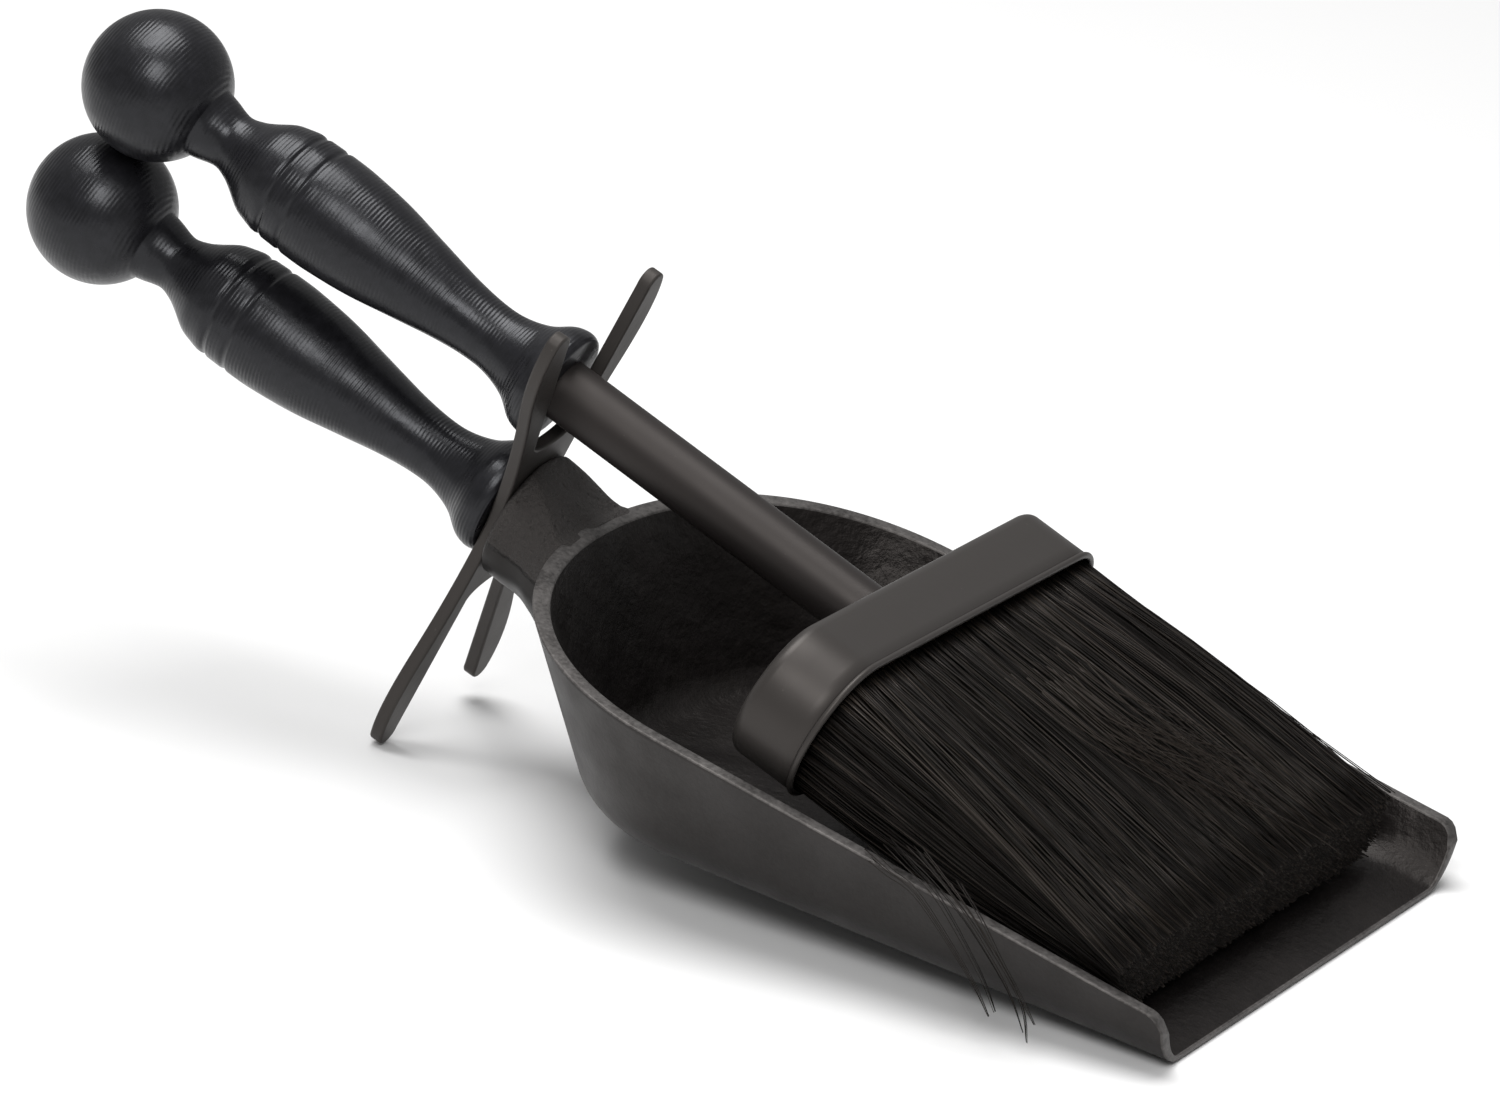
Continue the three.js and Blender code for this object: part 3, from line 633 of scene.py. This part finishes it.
edge.width, edge.segments, edge.limit_method, edge.angle_limit = 0.0006, 3, "ANGLE", math.radians(50)
mesh.shade_smooth()
mesh.set_sharp_from_angle(angle=math.radians(40))
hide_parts("x_plate")
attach(rest_plate, "pan")
print("plate outline", count, "points")

# %% [markdown]
# The shaft is a plain steel tube, painted. Only its outside shows, but it is made as a real tube: the profile runs
# along the outside, over a small rounded edge, and back along the inside, and closes on itself.

# %% The shaft
SHAFT, SHAFT_WALL, FERRULE_BACK, FERRULE_DEPTH = 7.8, 1.2, -96.0, 20.0
SHAFT_SEAT = 6.0
tube_end = BRUSH_GRIP_BEHIND + SHAFT_SEAT
profile = np.array([(SHAFT - 0.3, FERRULE_BACK + 0.3), (SHAFT, FERRULE_BACK + 0.6), (SHAFT, -60), (SHAFT, -20),
                    (SHAFT, tube_end - 0.3), (SHAFT - 0.3, tube_end), (SHAFT - SHAFT_WALL, tube_end),
                    (SHAFT - SHAFT_WALL, -20), (SHAFT - SHAFT_WALL, FERRULE_BACK + 0.3)])
profile = np.concatenate([profile, profile[:1]])
SHAFT_SIDES = 96
tube = turned_points(profile, SHAFT_SIDES)
tube_quads = grid_quads(len(tube), SHAFT_SIDES, wrap=True)
brush_shaft = mesh_object("brush_shaft", tube.reshape(-1, 3), tube_quads, BRUSH, [shaft_finish])
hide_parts("brush_shaft_tube")
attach(brush_shaft, "brush")

# %% [markdown]
# The ferrule is a pressed steel cap of stadium section: two flat sides and two round ends. Its back edge is
# rounded by the press and its mouth has a small rolled bead. As a surface it is a stadium whose inset changes
# along the depth, so the whole cap is one profile of (inset, along) carried round the stadium.

# %% The ferrule
FERRULE_WIDE, FERRULE_THICK, FERRULE_WALL = 151.0, 38.0, 1.2
MOUTH_AT = FERRULE_BACK - FERRULE_DEPTH


def stadium(inset, count=60):
    """Round the stadium, moved in by the inset: a half circle at each end and a flat side between them."""
    radius = np.maximum(FERRULE_THICK / 2 - np.asarray(inset, float), 0)[..., None]
    flat = FERRULE_WIDE / 2 - FERRULE_THICK / 2
    angle = np.linspace(-np.pi / 2, np.pi / 2, count)
    across = np.linspace(1, -1, count + 2)[1:-1] * flat
    right = np.stack([flat + radius * np.cos(angle), radius * np.sin(angle)], axis=-1)
    top = np.stack([across + 0 * radius, radius + 0 * across], axis=-1)
    left = np.stack([-flat - radius * np.cos(angle), -radius * np.sin(angle)], axis=-1)
    low = np.stack([-across + 0 * radius, -radius + 0 * across], axis=-1)
    return np.concatenate([right, top, left, low], axis=-2)


shoulder = np.linspace(0, np.pi / 2, 9)
roll_turn = np.linspace(-0.5 * np.pi, 0.95 * np.pi, 17)
ferrule_profile = np.concatenate([
    [(19, FERRULE_BACK), (12, FERRULE_BACK), (6, FERRULE_BACK)],
    np.stack([3.2 - 3.2 * np.sin(shoulder), FERRULE_BACK - 3.2 + 3.2 * np.cos(shoulder)], axis=1),
    [(0, FERRULE_BACK - 8), (0, MOUTH_AT + 5), (0, MOUTH_AT + 1.9)],
    np.stack([0.18 - 0.86 * np.cos(roll_turn), MOUTH_AT + 0.86 - 0.86 * np.sin(roll_turn)], axis=1),
    [(FERRULE_WALL, MOUTH_AT + 2.2), (FERRULE_WALL, MOUTH_AT + 8), (FERRULE_WALL, FERRULE_BACK - FERRULE_WALL - 0.6),
     (FERRULE_WALL + 0.6, FERRULE_BACK - FERRULE_WALL), (10, FERRULE_BACK - FERRULE_WALL),
     (19, FERRULE_BACK - FERRULE_WALL)],
])
section = stadium(ferrule_profile[:, 0])
along = np.broadcast_to(ferrule_profile[:, 1][:, None], section.shape[:2])
points = np.stack([section[..., 0], along, section[..., 1]], axis=-1)
ferrule = mesh_object("ferrule_cap", points.reshape(-1, 3), grid_quads(len(points), points.shape[1], wrap=True), BRUSH,
                      [ferrule_finish], sharp=50)
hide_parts("brush_ferrule")
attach(ferrule, "brush")

# %% [markdown]
# The brush is filled with black hair: thousands of strands that leave the block in rows, run nearly parallel,
# gather into clumps and end in one straight cut. A hair system would look right but can't be exported, so every
# strand is a thin three-sided tube with a few dozen faces, and all the strands of a row are one mesh, worked out
# together. A strand starts somewhere in its row and ends at the same share of the cut end; slow waves that
# neighbours share make the clumps, and a bend of its own keeps it from looking combed. Strands are pressed flat
# by the pan's floor and held in by its walls, using the same wall formula as the pan.

# %% Strand helpers
HAIR_LENGTH, ROWS, END_TOP, END_LOW, END_HALF, END_GROWTH, LEVEL = 97.0, 6, 9.7, -7.3, 68.0, 0.8, 0.9
TIP_AT, ROOT_AT = MOUTH_AT - HAIR_LENGTH, MOUTH_AT + 4.3
to_pan_from_brush = np.linalg.inv(PAN) @ BRUSH
to_brush_from_pan = np.linalg.inv(BRUSH) @ PAN


def held_in_pan(paths, room=0.5):
    """Keeps points above the pan's floor, inside its left wall where they are lower than the rim, and inside
    the line of its right wall everywhere."""
    p = placed(paths, to_pan_from_brush)
    p[..., 2] = np.maximum(p[..., 2], FLOOR + room)
    inside = MOUTH_HALF - TAPER * p[..., 1] + foot_spread(p[..., 2] - FLOOR, INNER_FOOT) + FLOOR * FLARE - WALL
    low = p[..., 2] < rim_height(np.maximum(p[..., 1], 0)) + room
    p[..., 0] = np.where(low, np.maximum(p[..., 0], room - inside), p[..., 0])
    p[..., 0] = np.minimum(p[..., 0], inside - room)
    return placed(p, to_brush_from_pan)


def strand_mesh(name, paths, radius, finish, shade):
    """Three-sided tubes on (strand, point, xyz) centre lines: each point gets a triangle across the strand."""
    n, k, _ = paths.shape
    run = np.gradient(paths, axis=1)
    run /= np.linalg.norm(run, axis=2)[..., None]
    side = np.cross(run, [0.0, 0.0, 1.0])
    side /= np.linalg.norm(side, axis=2)[..., None]
    rise = np.cross(side, run)
    turn = (np.arange(3) * 2 * np.pi / 3)[None, None, :, None] + shade[:, None, None, None] * 6
    around = np.cos(turn) * side[:, :, None] + np.sin(turn) * rise[:, :, None]
    ring = paths[:, :, None] + radius[:, :, None, None] * around
    first = (np.arange(n) * k * 3)[:, None, None, None]
    r = (np.arange(k - 1) * 3)[None, :, None, None]
    c = np.arange(3)[None, None, :, None]
    d = (c + 1) % 3
    quads = np.concatenate([first + r + c, first + r + d, first + r + d + 3, first + r + c + 3], axis=3).reshape(-1, 4)
    root = first.reshape(-1, 1) + np.array([2, 1, 0])
    cut = first.reshape(-1, 1) + (k - 1) * 3 + np.array([0, 1, 2])
    corners = np.concatenate([quads.ravel(), root.ravel(), cut.ravel()]).astype(np.int32)
    totals = np.concatenate([np.full(len(quads), 4), np.full(2 * n, 3)])
    starts = np.concatenate([[0], np.cumsum(totals)[:-1]]).astype(np.int32)
    mesh = bpy.data.meshes.new(name)
    mesh.vertices.add(n * k * 3)
    mesh.vertices.foreach_set("co", (placed(ring.reshape(-1, 3), BRUSH) * MM).astype(np.float32).ravel())
    mesh.loops.add(len(corners))
    mesh.loops.foreach_set("vertex_index", corners)
    mesh.polygons.add(len(totals))
    mesh.polygons.foreach_set("loop_start", starts)
    mesh.update(calc_edges=True)
    own = mesh.attributes.new("own_shade", "FLOAT", "POINT")
    own.data.foreach_set("value", np.repeat(shade, k * 3).astype(np.float32))
    smooth = np.ones(len(totals), bool)
    smooth[len(quads):] = False
    mesh.polygons.foreach_set("use_smooth", smooth)
    mesh.materials.append(finish)
    made = bpy.data.objects.new(name, mesh)
    bpy.context.scene.collection.objects.link(made)
    print(name, n, "strands", 2 * len(quads) + 2 * n, "triangles")
    return made


# %% Finish of the hair
hair_finish, tree, shader = new_finish("black_hair", (0.006, 0.0052, 0.0046), 0.42, 0.22)
own = node(tree, "ShaderNodeAttribute", attribute_name="own_shade").outputs["Fac"]
tree.links.new(mixed_color(tree, own, (0.0012, 0.0009, 0.0008), (0.034, 0.0275, 0.0225)), shader.inputs["Base Color"])
tree.links.new(ranged(tree, own, 0.6, 0.32, 0, 1), shader.inputs["Roughness"])

# %% The rows of bristles
POINTS = 9
time = np.linspace(0, 1, POINTS)[None, :]
inside_z = FERRULE_THICK / 2 - FERRULE_WALL - 1.5
pitch, end_pitch = 2 * inside_z / ROWS, (END_TOP - END_LOW) / ROWS
round_in = FERRULE_THICK / 2 - FERRULE_WALL - 0.4


def row_paths(row, count, rng):
    """Centre lines of a row: from a random place in the row at the block to the same share of the cut end."""
    across, high = rng.uniform(-1, 1, count), rng.uniform(0, 1, count)
    z0 = -inside_z + pitch * (row + high * 0.96)
    half0 = FERRULE_WIDE / 2 - FERRULE_THICK / 2 + np.sqrt(round_in**2 - z0**2)
    level = row + high
    half1 = END_HALF + END_GROWTH * level + np.where(across > 0, -2.0, 2.5) * smoothstep((level - 2) / 3)
    z1 = END_LOW + end_pitch * level * 0.97
    x0, x1 = across * half0, across * half1
    clump = 1.5 * np.sin(across * 31 + level * 1.3) + 1.1 * np.sin(across * 67 + 2 + level * 2.1)
    clump += 0.8 * np.sin(across * 140 + level)
    lift = 0.9 * np.sin(across * 23 + 1 + level) + 0.9 * np.sin(across * 83 + level * 3)
    own_way = rng.normal(0, 1.3, count) + rng.normal(0, 6, count) * (rng.uniform(0, 1, count) < 0.15)
    own_way = np.where(np.abs(across) > 0.8, -np.sign(across) * np.abs(own_way), own_way)
    wave, phase = rng.normal(0, 0.8, count)[:, None], rng.uniform(0, 6, count)[:, None]
    ease = time ** 1.15
    x = x0[:, None] + (x1 - x0)[:, None] * ease + clump[:, None] * np.sin(time * np.pi * 0.75) * time
    x += own_way[:, None] * time**1.6 + wave * np.sin(time * 7 + phase) * time
    x += np.sin(across * 1.57)[:, None] ** 3 * 1.2 * np.sin(time * np.pi)
    x -= (5.5 * smoothstep((-across - 0.72) / 0.28) * smoothstep((level - 2.5) / 3))[:, None] * time**1.5
    level_z = x * math.tan(BRUSH_ROLL) * LEVEL * time
    z = z0[:, None] + (z1 - z0)[:, None] * time + level_z + lift[:, None] * np.sin(time * np.pi)
    z += rng.normal(0, 0.9, count)[:, None] * np.sin(time * np.pi) + rng.normal(0, 0.4, count)[:, None] * time
    y_end = TIP_AT + 1.0 + 0.45 * level + rng.normal(0, 0.4, count)
    y = ROOT_AT + (y_end - ROOT_AT)[:, None] * time
    return np.stack([x, y, z], axis=2)


for row in range(ROWS):
    rng = np.random.default_rng(40 + row)
    count = 3300 if row >= 3 else 2300
    paths = held_in_pan(row_paths(row, count, rng))
    shade = rng.uniform(0, 1, count) ** 3
    radius = (0.17 + 0.09 * rng.uniform(0, 1, count))[:, None] * (1 - 0.2 * time)
    strands = strand_mesh(f"bristles_{row + 1}", paths, radius, hair_finish, shade)
    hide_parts(f"bristle_row_{row + 1}")
    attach(strands, "brush")

# %% [markdown]
# Hair never stays all in line. A few strands have slipped over the left wall and hang down outside it, each a
# smooth curve through four or five places, and a thin tuft lies crossed over the top row.

# %% The stray hairs
OUTSIDE = [
    [(-79, -98, 36.1), (-86, -108.3, 35.1), (-91, -119.1, 32.7), (-94.5, -135.8, 17.9), (-96, -142.4, 9.8)],
    [(-78, -104, 38), (-84.5, -113, 36.5), (-90.5, -124, 33), (-94, -138, 19), (-96.5, -144, 11.5)],
    [(-80, -112.8, 39.1), (-87, -124.8, 34.7), (-92, -136, 28.6), (-95, -149.5, 15.4), (-97, -153.3, 6.4)],
    [(-80, -110, 39), (-86, -121, 36), (-91.5, -133, 30), (-94.5, -146, 17.5), (-96.5, -152, 8.5)],
    [(-84, -125, 35), (-89, -134, 30), (-93, -142.4, 23), (-95, -149.4, 16.6), (-96.5, -154.7, 10.9)]]
rng = np.random.default_rng(7)
STRAY_POINTS = 24
hung = np.stack([smooth_curve(p, STRAY_POINTS) for p in OUTSIDE for _ in range(4)])
apart, spread = rng.normal(0, 0.12, (len(hung), 1, 3)), rng.normal(0, 1.1, (len(hung), 1, 3))
hung += apart + spread * np.linspace(1, 0.1, STRAY_POINTS)[None, :, None]
hung[..., 0] = np.maximum(hung[..., 0], -98)
hung = placed(hung, np.linalg.inv(BRUSH))
tuft_time = np.linspace(0, 1, STRAY_POINTS)
count = 44
begin, drift = rng.normal(2, 9, count)[:, None], rng.normal(17, 6, count)[:, None]
x = begin + drift * smoothstep((tuft_time - 0.3) / 0.7) + rng.normal(0, 1, count)[:, None] * np.sin(tuft_time * 6)
y = MOUTH_AT - 16 - rng.uniform(0, 12, count)[:, None] - (56 + rng.normal(0, 9, count)[:, None]) * tuft_time
share = (MOUTH_AT - y) / HAIR_LENGTH
z = inside_z + 1.6 + (END_TOP - inside_z) * share + 1.2 * np.sin(share * np.pi) + x * math.tan(BRUSH_ROLL) * share
z += rng.uniform(0, 0.8, count)[:, None]
strays = np.concatenate([hung, np.stack([x, y, z], axis=2)])
stray_shade = np.concatenate([rng.uniform(0, 0.3, len(hung)), rng.uniform(0.3, 0.8, count)])
stray_radius = (0.15 + 0.05 * stray_shade)[:, None] * np.linspace(1, 0.5, STRAY_POINTS)[None, :]
stray_hairs = strand_mesh("stray_hairs", strays, stray_radius, hair_finish, stray_shade)
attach(stray_hairs, "brush")

# %% [markdown]
# The hidden pieces keep their solids, which are already right, and get a real finish for whoever lifts the brush.

# %% Finishes on the kept solids
zinc_nodes = ("pan_handle_stud", "brush_handle_stud", "shaft_rear_plug", "shaft_front_plug", "head_washer",
              "head_screw")
for name in (*zinc_nodes, "brush_block"):
    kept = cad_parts[name]
    kept.data.materials.clear()
    kept.data.materials.append(zinc_finish if name in zinc_nodes else beech_finish)

# %% [markdown]
# The set stands on a plain pale floor in soft studio light: a bright surround, one wide light above and one from
# the viewer's side. The camera is far away with a long lens, a little above the set, as when one looks down at it,
# and leans a little to one side.

# %% Floor, lights and camera
floor_mesh = bpy.data.meshes.new("floor")
floor_mesh.from_pydata([(-6, -6, -0.0002), (6, -6, -0.0002), (6, 6, -0.0002), (-6, 6, -0.0002)], [], [(0, 1, 2, 3)])
floor_finish, tree, shader = new_finish("pale_floor", (0.74, 0.74, 0.74), 0.75)
tree.links.new(ranged(tree, noise(tree, object_place(tree), 3, 2), 0.66, 0.74), shader.inputs["Roughness"])
floor_mesh.materials.append(floor_finish)
floor = bpy.data.objects.new("floor", floor_mesh)
bpy.context.scene.collection.objects.link(floor)

world = bpy.data.worlds.new("studio")
bpy.context.scene.world = world
world.use_nodes = True
world.node_tree.nodes["Background"].inputs["Color"].default_value = (1, 1, 1, 1)
world.node_tree.nodes["Background"].inputs["Strength"].default_value = 0.36


def softbox(name, place, target, size, power):
    """A square area light at the place, turned so that it faces the target."""
    light = bpy.data.lights.new(name, "AREA")
    light.shape, light.size, light.energy = "SQUARE", size, power
    made = bpy.data.objects.new(name, light)
    bpy.context.scene.collection.objects.link(made)
    place, target = np.array(place, float), np.array(target, float)
    back = (place - target) / np.linalg.norm(place - target)
    side = np.cross([0, 0, 1], back)
    side /= np.linalg.norm(side)
    m = np.eye(4)
    m[:3, 0], m[:3, 1], m[:3, 2], m[:3, 3] = side, np.cross(back, side), back, place
    made.matrix_world = Matrix(m.tolist())
    return made


softbox("over", (0.1, 0.3, 1.6), (0, 0, 0.05), 1.1, 30)
softbox("viewer_side", (-1.5, -0.5, 1.5), (0, 0.05, 0.08), 0.9, 22)

yaw, pitch_down, lean = 1.123, 0.3489, 0.0995
toward = np.array([math.sin(yaw) * math.cos(pitch_down), math.cos(yaw) * math.cos(pitch_down), -math.sin(pitch_down)])
right = np.array([math.cos(yaw), -math.sin(yaw), 0.0])
up = np.cross(right, toward)
right, up = (math.cos(lean) * right + math.sin(lean) * up, -math.sin(lean) * right + math.cos(lean) * up)
lens_data = bpy.data.cameras.new("camera")
lens_data.sensor_width, lens_data.lens = 36.0, 384.0
lens_data.clip_start, lens_data.clip_end = 0.1, 50.0
camera = bpy.data.objects.new("camera", lens_data)
bpy.context.scene.collection.objects.link(camera)
CAMERA_DISTANCE = 4063.9
looked_at = np.array([169.92, 239.3 + plate_middle[1] - PLATE_BEHIND_LIP, 0.0])
m = np.eye(4)
m[:3, 0], m[:3, 1], m[:3, 2], m[:3, 3] = right, up, -toward, (looked_at - toward * CAMERA_DISTANCE) * MM
camera.matrix_world = Matrix(m.tolist())
bpy.context.scene.camera = camera
bpy.context.scene.view_settings.view_transform = "Standard"
print("camera at", camera.location)

# %% Update the scene, and the end
bpy.context.view_layer.update()
